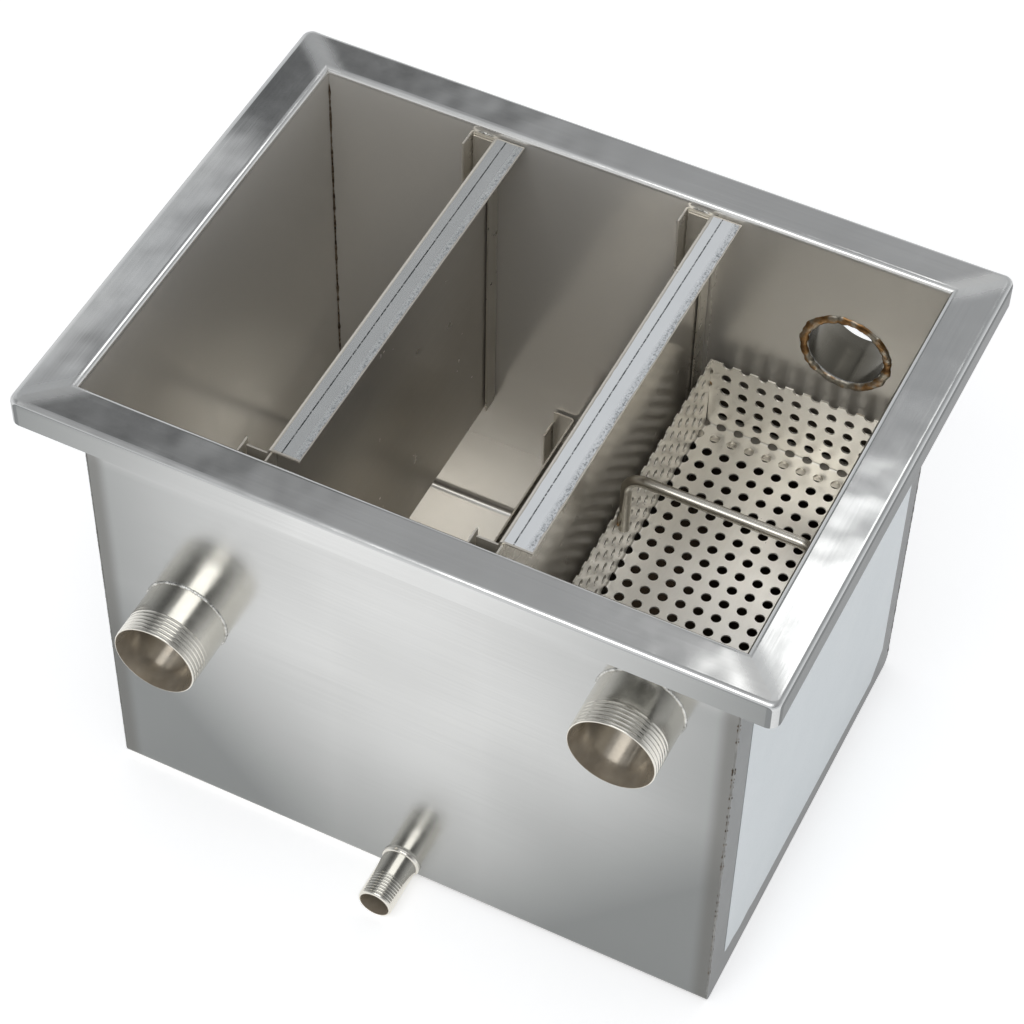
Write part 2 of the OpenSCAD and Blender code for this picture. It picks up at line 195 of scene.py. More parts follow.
# %% [markdown]
# ## Stainless sheet, cold rolled and brushed
# The tank is folded from 1 mm stainless sheet with a satin finish. The eye gets soft, cloudy
# reflections, a faint grain along the sheet and some handling marks. A flat grey would show none of
# that, so noise patterns of several real sizes drive the colour, the gloss and the small bumps.
# A real brushed grain is about 0.1 mm wide. That is too fine to show here, so it is drawn 1.2 mm
# wide.

# %% Brushed sheet
def begin(name):
    """A new material: its node tree, its main shader and the place on the object."""
    material = bpy.data.materials.new(name)
    material.use_nodes = True
    tree = material.node_tree
    tree.nodes.clear()
    shader = add(tree, "ShaderNodeBsdfPrincipled")
    add(tree, "ShaderNodeOutputMaterial", {"Surface": shader})
    place = add(tree, "ShaderNodeTexCoord").outputs["Object"]
    print("material", name)
    return material, tree, shader, place


def brushed_sheet(name, along, pale, dark, roughness, metallic, wave=0.35):
    """Satin stainless whose grain runs along X, Y or Z; wave is how uneven the flat is."""
    material, tree, shader, place = begin(name)
    grain_length, grain_width, grain_depth = 90 * mm, 1.2 * mm, 0.1 * mm
    cloud_size, cloud_depth, mark_size = 70 * mm, 2.0 * mm, 12 * mm
    stretch = [1 / (grain_length if axis == along else grain_width) for axis in "XYZ"]
    lengthwise = add(tree, "ShaderNodeVectorMath", {0: place, 1: stretch}, operation="MULTIPLY")
    grain = add(tree, "ShaderNodeTexNoise", {"Vector": lengthwise, "Scale": 1.0, "Detail": 2.0})
    lumps = {"Vector": place, "Scale": 1 / cloud_size, "Detail": 0.5}
    cloud = add(tree, "ShaderNodeTexNoise", lumps)
    lumps = {"Vector": place, "Scale": 1 / mark_size, "Detail": 6.0, "Roughness": 0.6}
    marks = add(tree, "ShaderNodeTexNoise", lumps)

    tone = add(tree, "ShaderNodeMath", {0: grain, 1: 0.35, 2: cloud}, operation="MULTIPLY_ADD")
    tone = add(tree, "ShaderNodeMapRange", {0: tone, 1: 0.45, 2: 0.9})
    shades = {0: tone, 6: linear(dark), 7: linear(pale)}
    colour = add(tree, "ShaderNodeMix", shades, data_type="RGBA")
    gloss = {0: marks, 1: 0.3, 2: 0.7, 3: 0.85 * roughness, 4: 1.15 * roughness}
    satin = add(tree, "ShaderNodeMapRange", gloss)
    relief = {"Strength": wave, "Distance": cloud_depth, "Height": cloud}
    wavy = add(tree, "ShaderNodeBump", relief)
    relief = {"Strength": 0.06, "Distance": grain_depth, "Height": grain, "Normal": wavy}
    brushed = add(tree, "ShaderNodeBump", relief)
    fill(tree, shader, {"Base Color": colour, "Roughness": satin, "Normal": brushed})
    shader.inputs["Metallic"].default_value = metallic
    return material


shell_steel = brushed_sheet(
    "stainless_sheet_brushed_lengthwise", "X", "#dcdcda", "#cfcfcd", roughness=0.19, metallic=1.0)
left_steel = brushed_sheet(
    "stainless_sheet_brushed_left_end", "Y", "#dcdcda", "#cecfce", roughness=0.18, metallic=1.0)
right_steel = brushed_sheet(
    "stainless_sheet_brushed_right_end", "Y", "#dcdcda", "#cecfce", roughness=0.18, metallic=1.0)

# %% [markdown]
# ## Sheet with a skin of oil
# The channels, baffles and basket were put in as they came, with a thin skin of rolling oil. A coat
# on the shader could stand for it, but the skin mostly hides part of the mirror, so these sheets
# are simply less metallic than the bare ones.

# %% Oily sheet
channel_steel = brushed_sheet(
    "stainless_sheet_sheared_strip", "Z", "#e2ddd2", "#d4cec2", roughness=0.3, metallic=0.65)
baffle_steel = brushed_sheet(
    "stainless_sheet_rolled_plain", "Y", "#dfdad0", "#d5cfc4", roughness=0.24, metallic=0.65,
    wave=0.15)
basket_steel = brushed_sheet(
    "stainless_sheet_punched_bright", "Y", "#fbf8f1", "#f3efe5", roughness=0.32, metallic=0.72)

# %% Steel on the CAD nodes
def dress(material, *names):
    """Put a material on every slot of the named CAD nodes."""
    for name in names:
        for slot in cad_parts[name].material_slots:
            slot.material = material
    print(material.name, "on", len(names), "nodes")


dress(shell_steel, "tank_shell")
dress(left_steel, "left_end_panel")
dress(right_steel, "right_end_panel")
dress(baffle_steel, "left_baffle", "right_baffle", "weir_plate")
dress(basket_steel, "basket")
channels = [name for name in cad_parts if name.endswith("_channel")]
dress(channel_steel, "basket_front_ledge", "basket_back_ledge", *channels)

# %% [markdown]
# ## What the tank's sheet has been through, and painted shade
# The inside has kept a thin brownish film of forming oil and test water, so it is warmer and softer
# than bare metal. The outside is painted darker towards its ends and its foot: painted shade,
# standing in for the darker floor and room that those parts mirror. An artist could paint this on
# an image, but here it is read from the place on the sheet and laid over the brushed colour, so it
# needs no image.

# %% Zones of a tank sheet
sheet = 1 * mm
wall_x, wall_y = 174.5 * mm, 124.5 * mm  # the middle of the walls' sheet
bend_from, bend_to, bend_reach = 297 * mm, 299 * mm, 4 * mm  # where the wall leans out to the rim
inside_to, inside_full = 303.6 * mm, 300 * mm  # the inside's film thins out over the bend
rim_under, rim_top = 302.5 * mm, 303 * mm


def reopen(material):
    """The node tree of a material, its main shader and the place on the object."""
    tree = material.node_tree
    shader = next(node for node in tree.nodes if node.type == "BSDF_PRINCIPLED")
    start = next(node for node in tree.nodes if node.type == "TEX_COORD")
    return tree, shader, start.outputs["Object"]


def zones(tree, place):
    """Distances from the middle, and masks of a sheet's inside, its upright outside and its rim."""
    far = add(tree, "ShaderNodeVectorMath", {0: place}, operation="ABSOLUTE")
    far = add(tree, "ShaderNodeSeparateXYZ", {0: far}).outputs
    bend = add(tree, "ShaderNodeMapRange", {0: far["Z"], 1: bend_from, 2: bend_to, 4: bend_reach})
    limit_x = add(tree, "ShaderNodeMath", {0: bend, 1: wall_x}, operation="ADD")
    limit_y = add(tree, "ShaderNodeMath", {0: bend, 1: wall_y}, operation="ADD")
    in_x = add(tree, "ShaderNodeMath", {0: far["X"], 1: limit_x}, operation="LESS_THAN")
    in_y = add(tree, "ShaderNodeMath", {0: far["Y"], 1: limit_y}, operation="LESS_THAN")
    within = add(tree, "ShaderNodeMath", {0: in_x, 1: in_y}, operation="MULTIPLY")
    below = add(tree, "ShaderNodeMapRange", {0: far["Z"], 1: inside_to, 2: inside_full})
    inside = add(tree, "ShaderNodeMath", {0: within, 1: below}, operation="MULTIPLY")
    upright = add(tree, "ShaderNodeMath", {0: far["Z"], 1: rim_under}, operation="LESS_THAN")
    outside = add(
        tree, "ShaderNodeMath", {0: upright, 1: within}, operation="SUBTRACT", use_clamp=True)
    rim = add(tree, "ShaderNodeMath", {0: far["Z"], 1: rim_top}, operation="GREATER_THAN")
    return {"far": far, "inside": inside, "outside": outside, "rim": rim}


def paint(tree, shader, mask, tone):
    """Lay a colour over what the shader has, where the mask is 1."""
    below = shader.inputs["Base Color"].links[0].from_socket
    mixed = add(tree, "ShaderNodeMix", {0: mask, 6: below, 7: linear(tone)}, data_type="RGBA")
    fill(tree, shader, {"Base Color": mixed})


print("walls", round(wall_x / mm, 1), "and", round(wall_y / mm, 1), "mm from the middle")

# %% Inside film
thin_film, thick_film = 0.12, 0.42  # share of the mirror that it hides, on the floor and higher up


def film_inside(material, tone):
    """Warm the inside, and let it mirror less where oil and water dried; less so at the basket."""
    tree, shader, place = reopen(material)
    zone = zones(tree, place)
    paint(tree, shader, zone["inside"], tone)
    height = {0: zone["far"]["Z"], 2: 120 * mm, 3: thin_film, 4: thick_film}
    film = add(tree, "ShaderNodeMapRange", height)
    film = add(tree, "ShaderNodeMath", {0: zone["inside"], 1: film}, operation="MULTIPLY")
    along = add(tree, "ShaderNodeSeparateXYZ", {0: place}).outputs["X"]
    unwashed = add(tree, "ShaderNodeMapRange", {0: along, 1: 45 * mm, 2: 75 * mm, 3: 1.0, 4: 0.3})
    skin = add(tree, "ShaderNodeMath", {0: unwashed, 1: film}, operation="MULTIPLY")
    bare = add(tree, "ShaderNodeMath", {0: 1.0, 1: skin}, operation="SUBTRACT")
    fill(tree, shader, {"Metallic": bare})
    print(material.name, "filmed inside")


film_inside(shell_steel, "#e8e5df")
film_inside(left_steel, "#e8e5df")
# the right end's inside is painted darker: painted shade at the inlet's end
film_inside(right_steel, "#aca69a")

# %% Painted shade outside
lip_x, lip_y = 199.4 * mm, 147.9 * mm  # just inside the lips' outer faces
most_dull = 0.9


def dull_outside(material, tone, margin, foot):
    """Paint shade on the outside, darker towards its ends over the margin (from, to) and down to
    its foot.
    """
    tree, shader, place = reopen(material)
    zone = zones(tree, place)
    far = zone["far"]
    ends = {0: far["X"], 1: margin[0], 2: margin[1], 4: most_dull}
    ends = add(tree, "ShaderNodeMapRange", ends)
    low = add(tree, "ShaderNodeMapRange", {0: far["Z"], 1: 160 * mm, 2: 0.0, 4: foot})
    share = add(tree, "ShaderNodeMath", {0: ends, 1: low}, operation="ADD", use_clamp=True)
    dull = add(tree, "ShaderNodeMath", {0: zone["outside"], 1: share}, operation="MULTIPLY")

    # The painted shade leaves out the wall's top and the underside behind the lip.
    high = {0: far["Z"], 1: 245 * mm, 2: 275 * mm}
    high = add(tree, "ShaderNodeMapRange", high, interpolation_type="SMOOTHSTEP")
    in_lip_x = add(tree, "ShaderNodeMath", {0: far["X"], 1: lip_x}, operation="LESS_THAN")
    in_lip_y = add(tree, "ShaderNodeMath", {0: far["Y"], 1: lip_y}, operation="LESS_THAN")
    in_lip = add(tree, "ShaderNodeMath", {0: in_lip_x, 1: in_lip_y}, operation="MULTIPLY")
    sheltered = add(tree, "ShaderNodeMath", {0: in_lip, 1: high}, operation="MULTIPLY")
    scrubbed = add(tree, "ShaderNodeMath", {0: 1.0, 1: sheltered}, operation="SUBTRACT")
    dull = add(tree, "ShaderNodeMath", {0: dull, 1: scrubbed}, operation="MULTIPLY")
    paint(tree, shader, dull, tone)
    print(material.name, "shade_painted outside")


# Painted shade: the outside of the long walls, and of the ends, is painted grey towards the ends
# and foot.
dull_outside(shell_steel, "#848685", (42 * mm, 195 * mm), foot=0.78)
for material in (left_steel, right_steel):
    dull_outside(material, "#747676", (120 * mm, 170 * mm), foot=0.0)
    _, shader, _ = reopen(material)
    shader.inputs["Specular Tint"].default_value = linear("#cecece")  # softer at a low angle

# %% [markdown]
# ## Marks and painted shade on the long sheet
# The heat of the corner seams left a grey-brown band on the outside of the long walls. Inside, the
# inlet's splashes dried to a softer skin around the basket. The inside is also painted darker
# towards the inlet's end, and below a line that rises behind the basket: both are painted shade.
# Each mark is a mask of its own, so it can be moved by one number.

# %% Heat band
tree, shader, place = reopen(shell_steel)
zone = zones(tree, place)
near_seam = {0: zone["far"]["X"], 1: 163 * mm, 2: 171 * mm, 4: 0.55}
band = add(tree, "ShaderNodeMapRange", near_seam, interpolation_type="SMOOTHSTEP")
lip_end = {0: zone["far"]["Z"], 1: 287 * mm}
below_lip = add(tree, "ShaderNodeMath", lip_end, operation="LESS_THAN")
heated = add(tree, "ShaderNodeMath", {0: zone["outside"], 1: below_lip}, operation="MULTIPLY")
heated = add(tree, "ShaderNodeMath", {0: heated, 1: band}, operation="MULTIPLY")
paint(tree, shader, heated, "#5e5b55")
print("heat band beside each corner seam")

# %% Painted shade at the inlet's end, and softer splashes
along = add(tree, "ShaderNodeSeparateXYZ", {0: place}).outputs["X"]
inlet_side = add(tree, "ShaderNodeMapRange", {0: along, 1: 85 * mm, 2: 150 * mm, 4: 0.3})
splashed = add(tree, "ShaderNodeMath", {0: inlet_side, 1: zone["inside"]}, operation="MULTIPLY")
# painted shade: the inside is painted darker towards the inlet's end
paint(tree, shader, splashed, "#a09a8e")
basket_side = add(tree, "ShaderNodeMapRange", {0: along, 1: 45 * mm, 2: 60 * mm, 4: 0.22})
softer = add(tree, "ShaderNodeMath", {0: basket_side, 1: zone["inside"]}, operation="MULTIPLY")
satin = shader.inputs["Roughness"].links[0].from_socket
blurred = add(tree, "ShaderNodeMath", {0: softer, 1: satin}, operation="ADD")
fill(tree, shader, {"Roughness": blurred})
print("splashes on the basket's side")

# %% Painted shade below and behind the basket
floor_line, wall_line, line_blur = 145 * mm, 188 * mm, 10 * mm
water_line = {0: along, 1: 45 * mm, 2: 55 * mm, 3: floor_line, 4: wall_line}
water_line = add(tree, "ShaderNodeMapRange", water_line)
height = {0: zone["far"]["Z"], 1: water_line}
height = add(tree, "ShaderNodeMath", height, operation="SUBTRACT")
below_line = add(tree, "ShaderNodeMapRange", {0: height, 1: line_blur, 2: -line_blur})
past_weir = add(tree, "ShaderNodeMapRange", {0: along, 1: -15 * mm, 2: -5 * mm})
stained = add(tree, "ShaderNodeMath", {0: below_line, 1: past_weir}, operation="MULTIPLY")
stained = add(tree, "ShaderNodeMath", {0: stained, 1: zone["inside"]}, operation="MULTIPLY")
# painted shade: dark below a line in the middle and inlet compartments, rising behind the basket
paint(tree, shader, stained, "#544c42")
print("water stain up to", round(wall_line / mm), "mm behind the basket")

# %% [markdown]
# ## The worked rim
# A rim folded on a press brake is never quite flat: it is a little wavy, and the left one droops.
# Its mitred corners were welded and smoothed with a flap wheel, which leaves them matter than the
# sheet. A bump tilts the reflections as the real slopes do, without moving the CAD shape.

# %% Waves, droop and polished mitres
mitre_across = (0.686, -0.728, 0)  # square to the mitre
mitre_offset = 29.1 * mm
dent_size, dent_depth = 26 * mm, 0.42 * mm
rim_gloss, mitre_matt = -0.05, 0.22  # change of roughness


def work_rim(material, droop):
    """Make the rim's top uneven, let it droop by a slope, and matt it along the mitres."""
    tree, shader, place = reopen(material)
    zone = zones(tree, place)
    rim = zone["rim"]
    corner = add(tree, "ShaderNodeVectorMath", {0: place}, operation="ABSOLUTE")
    square = {0: corner, 1: mitre_across}
    across = add(tree, "ShaderNodeVectorMath", square, operation="DOT_PRODUCT")
    across = add(tree, "ShaderNodeMath", {0: across, 1: mitre_offset}, operation="SUBTRACT")
    across = add(tree, "ShaderNodeMath", {0: across}, operation="ABSOLUTE")
    near = {0: across, 1: 11 * mm, 2: 1 * mm}
    near = add(tree, "ShaderNodeMapRange", near, interpolation_type="SMOOTHSTEP")
    mitre = add(tree, "ShaderNodeMath", {0: near, 1: rim}, operation="MULTIPLY")
    satin = shader.inputs["Roughness"].links[0].from_socket
    smooth = add(tree, "ShaderNodeMath", {0: rim, 1: rim_gloss, 2: satin}, operation="MULTIPLY_ADD")
    ground = {0: mitre, 1: mitre_matt, 2: smooth}
    matt = add(tree, "ShaderNodeMath", ground, operation="MULTIPLY_ADD")

    lumps = {"Vector": place, "Scale": 1 / dent_size, "Detail": 1.0}
    dents = add(tree, "ShaderNodeTexNoise", lumps)
    flat = shader.inputs["Normal"].links[0].from_socket
    relief = {"Strength": rim, "Distance": dent_depth, "Height": dents, "Normal": flat}
    wavy = add(tree, "ShaderNodeBump", relief)
    lengthwise = add(tree, "ShaderNodeSeparateXYZ", {0: place}).outputs["Y"]
    twist = {0: lengthwise, 1: 85 * mm, 2: 40 * mm}
    twist = add(tree, "ShaderNodeMapRange", twist, interpolation_type="SMOOTHSTEP")
    drooping = add(tree, "ShaderNodeMath", {0: twist, 1: rim}, operation="MULTIPLY")
    slope = {"Strength": drooping, "Distance": droop, "Height": zone["far"]["X"], "Normal": wavy}
    tilted = add(tree, "ShaderNodeBump", slope, invert=True)
    fill(tree, shader, {"Roughness": matt, "Normal": tilted})
    print(material.name, "rim slope", droop)


work_rim(shell_steel, 0.0)
work_rim(left_steel, 0.06)
work_rim(right_steel, 0.0)

# %% [markdown]
# ## Drawn rod and turned pipe
# The basket's bail is drawn rod, pulled through a die, so its fine lines run along the rod. The
# nipples are pipe with their skin turned in a lathe, so their lines run round the axis. Both are
# smoother than the sheet and give sharper streaks of light. The tool marks are about 0.2 mm apart
# on the real pipe, and are drawn 0.9 mm apart so that they show.

# %% Rod and pipe steel
def polished_steel(name, pale, dark, roughness, line_axis, line_width, metallic=1.0):
    """Smooth steel whose fine lines follow one another along line_axis."""
    material, tree, shader, place = begin(name)
    line_length, line_depth, mark_size = 60 * mm, 0.1 * mm, 9 * mm
    stretch = [1 / (line_width if axis == line_axis else line_length) for axis in "XYZ"]
    across = add(tree, "ShaderNodeVectorMath", {0: place, 1: stretch}, operation="MULTIPLY")
    lines = add(tree, "ShaderNodeTexNoise", {"Vector": across, "Scale": 1.0, "Detail": 2.0})
    lumps = {"Vector": place, "Scale": 1 / mark_size, "Detail": 5.0}
    marks = add(tree, "ShaderNodeTexNoise", lumps)
    shades = {0: marks, 6: linear(dark), 7: linear(pale)}
    colour = add(tree, "ShaderNodeMix", shades, data_type="RGBA")
    gloss = {0: marks, 1: 0.3, 2: 0.7, 3: roughness - 0.04, 4: roughness + 0.06}
    sheen = add(tree, "ShaderNodeMapRange", gloss)
    relief = {"Strength": 0.2, "Distance": line_depth, "Height": lines}
    ridges = add(tree, "ShaderNodeBump", relief)
    fill(tree, shader, {"Base Color": colour, "Roughness": sheen, "Normal": ridges})
    shader.inputs["Metallic"].default_value = metallic
    return material


pipe_steel = polished_steel(
    "stainless_pipe_turned", "#e9e6de", "#d9d5cb", 0.15, "Y", line_width=0.9 * mm)
bore_steel = polished_steel(
    "stainless_pipe_bore_pickled", "#ddd5c6", "#a59a8a", 0.2, "Y", line_width=2.0 * mm,
    metallic=0.7)
rod_steel = polished_steel(
    "stainless_rod_drawn", "#d6d2c8", "#c2bdb1", 0.22, "Z", line_width=1.2 * mm)
dress(rod_steel, "basket_handle")

# %% Painted shade in the back inlet's bore
tree, shader, place = reopen(bore_steel)
lengthwise = add(tree, "ShaderNodeSeparateXYZ", {0: place}).outputs["Y"]
at_back = add(tree, "ShaderNodeMath", {0: lengthwise, 1: 0.0}, operation="GREATER_THAN")
# painted shade: the bore of the back inlet is painted darker
paint(tree, shader, at_back, "#6b675d")
print(bore_steel.name, "is darker in the back inlet")

# %% [markdown]
# ## Threaded nipples
# Each nipple is a short pipe with a cut thread on its outer part. A Screw modifier could wind a
# thread, but a ring-by-ring mesh is closed and simple: every ring's radius dips where the helix's
# groove passes. The pipe thread is 11 to the inch. Its crests are worn broad, with narrow grooves
# between.

# %% Outline of a nipple
bore_rings = 12
rings_per_turn = 12


def pipe_profile(length, outer, bore, flare, smooth_to, pitch, bevel, collar=None):
    """Outline of a nipple from its foot, out along the thread and back along the bore.

    Each point is (distance from the wall, radius, share of the thread's depth)."""
    outline = [(0.0, outer, 0.0)]
    if collar:
        width, radius = collar
        chamfer = 0.6 * mm
        outline = [(0.0, radius, 0.0), (width - chamfer, radius, 0.0)]
        outline += [(width, radius - chamfer, 0.0), (width + 0.1 * mm, outer, 0.0)]
    start = outline[-1][0]
    outline += [(start + (smooth_to - start) * i / 6, outer, 0.0) for i in range(1, 7)]

    threaded = length - bevel - smooth_to
    run_in = 1.2 * pitch
    steps = round(threaded / (pitch / rings_per_turn))
    for i in range(1, steps + 1):
        along = threaded * i / steps
        outline.append((smooth_to + along, outer, min(1, along / run_in)))
    for angle in (30, 60, 90):
        sine, cosine = math.sin(math.radians(angle)), math.cos(math.radians(angle))
        outline.append((length - bevel * (1 - sine), outer - bevel * (1 - cosine), cosine))

    flare_length, mouth_bevel = 9 * mm, 0.3 * mm
    outline.append((length, bore + flare, 0.0))
    for i in range(bore_rings):
        along = (length - mouth_bevel) * (1 - i / (bore_rings - 1))
        open_share = max(0, 1 - (length - along) / flare_length)
        outline.append((along, bore + flare * open_share, 0.0))
    return outline


inch = 25.4 * mm
pipe_pitch, drain_pitch = inch / 11, inch / 14
print("threads", round(pipe_pitch / mm, 2), "and", round(drain_pitch / mm, 2), "mm a turn")

# %% Outlines of the four nipples
pipe_sides = {"outlet_nipple": -1, "front_inlet_nipple": -1, "back_inlet_nipple": 1}
outlines = {}
for node in pipe_sides:
    low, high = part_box(node)
    outlines[node] = pipe_profile(
        high.y - low.y, outer=(high.x - low.x) / 2, bore=20.8 * mm, flare=1.4 * mm,
        smooth_to=high.y - low.y - 15 * mm, pitch=pipe_pitch, bevel=0.6 * mm)
    print(node, len(outlines[node]), "rings")
low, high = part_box("drain_nipple")
drain_outline = pipe_profile(
    high.y - low.y, outer=10 * mm, bore=7.5 * mm, flare=0.9 * mm,
    smooth_to=20 * mm, pitch=drain_pitch, bevel=1.4 * mm, collar=(7 * mm, 11 * mm))
print("drain_nipple", len(drain_outline), "rings")

# %% Meshes from rings
def finish_piece(name, points, faces, material, body, crease):
    """Make a mesh object, turn its faces outward, shade it and hang it on its body."""
    mesh = bpy.data.meshes.new(name)
    mesh.from_pydata(points, [], faces)
    work = bmesh.new()
    work.from_mesh(mesh)
    bmesh.ops.recalc_face_normals(work, faces=work.faces)
    work.to_mesh(mesh)
    work.free()
    mesh.shade_smooth()
    mesh.set_sharp_from_angle(angle=math.radians(crease))
    mesh.materials.append(material)
    piece = bpy.data.objects.new(name, mesh)
    scene.collection.objects.link(piece)
    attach(piece, body)
    print(name, len(mesh.polygons), "faces")
    return piece


def ring_faces(rings, count):
    """Faces between closed rings of points, the last ring joined to the first."""
    faces = []
    for ring in range(rings):
        for step in range(count):
            a, b = ring * count, ((ring + 1) % rings) * count
            after = (step + 1) % count
            faces.append((a + step, a + after, b + after, b + step))
    return faces


print("two rings of four points give", len(ring_faces(2, 4)), "faces")

# %% Four nipples
groove_share = 0.6


def threaded_nipple(node, side, profile, pitch, depth):
    """A pipe along Y from its wall, with a helical groove where the profile asks for it."""
    low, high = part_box(node)
    middle_x, middle_z = (low.x + high.x) / 2, high.z - (high.x - low.x) / 2
    wall = high.y if side < 0 else low.y
    count = 128
    points = []
    for distance, radius, share in profile:
        for step in range(count):
            angle = 2 * math.pi * step / count
            turn = (distance / pitch - step / count) % 1
            groove = max(0, 1 - abs(2 * turn - 1) / groove_share)
            r = radius - depth * share * groove
            z = max(low.z, middle_z - side * r * math.sin(angle))
            points.append((middle_x + r * math.cos(angle), wall + side * distance, z))
    faces = ring_faces(len(profile), count)
    piece = finish_piece(node + "_threaded", points, faces, pipe_steel, "tank", 50)
    piece.data.materials.append(bore_steel)
    first_bore_ring = len(profile) - bore_rings - 2
    for face in piece.data.polygons[first_bore_ring * count:]:
        face.material_index = 1
    tip = max(distance for distance, _, _ in profile)
    print(node, "sticks out", round(tip / mm, 1), "mm")
    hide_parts(node)


for node, side in pipe_sides.items():
    threaded_nipple(node, side, outlines[node], pipe_pitch, depth=0.28 * mm)
threaded_nipple("drain_nipple", -1, drain_outline, drain_pitch, depth=0.16 * mm)

# %% [markdown]
# ## Welds
# The sheets, pipes and channels are joined by hand with an electric arc. A bead of melted steel has
# ripples, uneven width and heat colours: straw, brown and a grey scale where it burnt. A bevelled
# curve could make a bead, but every slice of it would be alike. So a bead is built along a path as
# half-oval slices whose size wanders with noise.

# %% Weld metal
def weld_steel(name, colours, roughness, patch_size):
    """Melted steel with patches of heat colour and a fine grit."""
    material, tree, shader, place = begin(name)
    grit_size, grit_depth = 1.2 * mm, 0.4 * mm
    lumps = {"Vector": place, "Scale": 1 / patch_size, "Detail": 3.0}
    patches = add(tree, "ShaderNodeTexNoise", lumps)
    ramp = add(tree, "ShaderNodeValToRGB", {0: patches})
    stops = ramp.color_ramp.elements
    first, last = 0.32, 0.68
    stops[0].position, stops[1].position = first, last
    stops[0].color, stops[1].color = linear(colours[0]), linear(colours[-1])
    for i, code in enumerate(colours[1:-1], 1):
        stops.new(first + (last - first) * i / (len(colours) - 1)).color = linear(code)
    lumps = {"Vector": place, "Scale": 1 / grit_size, "Detail": 3.0}
    grit = add(tree, "ShaderNodeTexNoise", lumps)
    gloss = {0: grit, 1: 0.3, 2: 0.7, 3: roughness - 0.1, 4: roughness + 0.15}
    rough = add(tree, "ShaderNodeMapRange", gloss)
    relief = {"Strength": 0.5, "Distance": grit_depth, "Height": grit}
    lumpy = add(tree, "ShaderNodeBump", relief)
    fill(tree, shader, {"Base Color": ramp, "Roughness": rough, "Normal": lumpy})
    shader.inputs["Metallic"].default_value = 1.0
    return material


clean_weld = weld_steel(
    "stainless_weld_brushed_clean", ["#8b8a85", "#c6c5c0", "#dddcd8"], 0.24, 4 * mm)
burnt_weld = weld_steel(
    "stainless_weld_burnt", ["#80603f", "#a98358", "#bdb6a8", "#8f8c85"], 0.36, 9 * mm)
ground_weld = weld_steel(
    "stainless_weld_ground_flush", ["#6c6b68", "#7d7d7a", "#8f8f8c"], 0.38, 12 * mm)
pitted_weld = weld_steel(
    "stainless_weld_pitted", ["#2c2621", "#5a4d40", "#98928a"], 0.5, 2 * mm)
seam_weld = weld_steel(
    "stainless_weld_oxidised", ["#4a4038", "#7d6d5c", "#a39a8c"], 0.45, 3 * mm)

# %% Rings around the pipes
def weld_bead(name, path, ups, width, height, material, closed, wander, seed):
    """A bead along the path; ups holds the way up at each point, wander how uneven it is."""
    slices = 9
    root = 0.25 * mm
    points = []
    count = len(path)
    for i, (spot, up) in enumerate(zip(path, ups)):
        before = path[i - 1] if closed or i > 0 else path[0]
        after = path[(i + 1) % count] if closed or i < count - 1 else path[-1]
        across = (after - before).normalized().cross(up)
        coarse = noise.noise(spot / (4 * mm) + Vector((seed, 0, 0)))
        fine = noise.noise(spot / (1.5 * mm))
        lump = 1 + wander * coarse + 0.5 * wander * fine
        ripple = 1 + 0.12 * math.sin(2.1 * i)
        fade = 1 if closed else min(1, (min(i, count - 1 - i) + 0.25) / 2)
        w, h = width * lump * fade, height * lump * ripple * fade
        for j in range(slices):
            angle = math.pi * j / (slices - 1)
            points.append(spot + across * w * math.cos(angle) + up * h * math.sin(angle))
        points.append(spot - up * root)
    around = slices + 1
    faces = ring_faces(count, around)
    if not closed:
        faces = faces[:-around]
        faces.append(tuple(range(around)))
        faces.append(tuple(range((count - 1) * around, count * around)))
    return finish_piece(name, points, faces, material, "tank", 60)


def round_path(middle, radius, count):
    """Points of a circle in a plane across Y, and the directions out from its middle."""
    angles = [2 * math.pi * i / count for i in range(count)]
    ways = [Vector((math.cos(angle), 0, math.sin(angle))) for angle in angles]
    return [middle + way * radius for way in ways], ways


for seed, (node, side) in enumerate({**pipe_sides, "drain_nipple": -1}.items()):
    low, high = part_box(node)
    radius = (high.x - low.x) / 2
    wall = high.y if side < 0 else low.y
    foot = Vector(((low.x + high.x) / 2, wall, high.z - radius))
    ring, width, count = 8.5 * mm, 1.1 * mm, 70
    if node in pipe_sides:
        path, ways = round_path(foot, radius, 120)
        fillet = [(way + Vector((0, side, 0))).normalized() for way in ways]
        weld_bead(
            node + "_outer_weld", path, fillet, 0.9 * mm, 0.9 * mm, clean_weld, True, 0.4, seed)
        ring, width, count = 23.1 * mm, 2.4 * mm, 140
    path, _ = round_path(foot - Vector((0, side * sheet, 0)), ring, count)
    inward = [Vector((0, -side, 0))] * count
    weld_bead(
        node + "_inner_weld", path, inward, width, 1.0 * mm, burnt_weld, True, 0.35, seed + 9)

# %% Corner seams
def at_corner(x_side, y_side, outward, z):
    """A place at a corner of the tank, a step outward from the middle of both sheets."""
    return Vector(((wall_x + outward) * x_side, (wall_y + outward) * y_side, z))


heights = [(7 + 1.1 * i) * mm for i in range(262)]
for seed, (x_side, y_side) in enumerate(((-1, -1), (1, -1), (-1, 1), (1, 1))):
    name = ("left" if x_side < 0 else "right") + ("_front" if y_side < 0 else "_back")
    inward = Vector((-x_side, -y_side, 0)).normalized()
    path = [at_corner(x_side, y_side, -sheet / 2, z) for z in heights]
    weld_bead(
        name + "_inside_seam", path, [inward] * len(path), 0.9 * mm, 0.6 * mm,
        seam_weld, False, 0.9, seed + 20)
    path = [at_corner(x_side, y_side, 0.2 * mm, z) for z in heights]
    weld_bead(
        name + "_outside_seam", path, [-inward] * len(path), 0.5 * mm, 0.5 * mm,
        ground_weld, False, 0.3, seed + 30)

